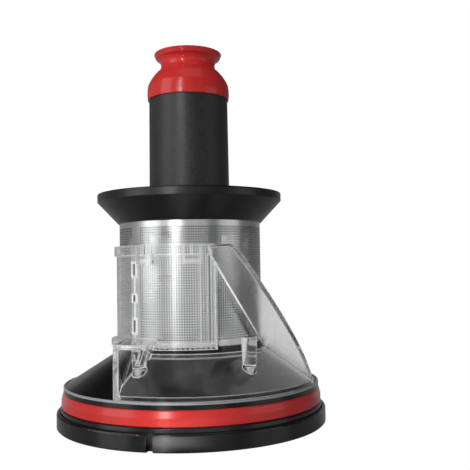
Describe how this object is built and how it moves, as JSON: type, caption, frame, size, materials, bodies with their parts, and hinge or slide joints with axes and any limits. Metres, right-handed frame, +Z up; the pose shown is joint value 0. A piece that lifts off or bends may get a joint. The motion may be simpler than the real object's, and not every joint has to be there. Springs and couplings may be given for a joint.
{
  "type": "vacuum cleaner cyclone filter",
  "caption": "Cyclone filter of a bagless vacuum cleaner: metal screen, clear air inlet duct, flared skirt, dust tube and soft seals on a conical cover with a closure ring.",
  "frame": {"origin": "centre of the closure ring on its flat underside", "axes": "+Z up along the axis towards the end seal, -Y towards the air inlet, +X towards the inlet ramp"},
  "size_m": [0.12, 0.12, 0.1676],
  "materials": {
    "black_plastic": "satin moulded, near black",
    "cover_plastic": "polished moulded, near black",
    "tube_plastic": "fine-grained moulded, dark grey",
    "red_silicone": "smooth soft silicone, red",
    "black_rubber": "smooth soft rubber, black",
    "screen_steel": "thin stainless sheet with fine etched holes",
    "screw_steel": "zinc plated",
    "clear_plastic": "clear polished"
  },
  "bodies": {
    "root": {"base_ring": "black_plastic", "seal_band": "red_silicone", "cone_cover": "cover_plastic", "outlet_plate": "black_plastic", "outlet_gasket": "black_rubber", "base_screws": "screw_steel", "vortex_finder": "black_plastic", "inner_cyclone": "black_plastic", "tube_seal": "black_rubber", "screen_cage": "black_plastic", "mesh_screen": "screen_steel", "inlet_duct": "clear_plastic", "duct_screws": "screw_steel", "dust_skirt": "black_plastic", "dust_tube": "tube_plastic", "end_seal": "red_silicone"}
  },
  "joints": []
}
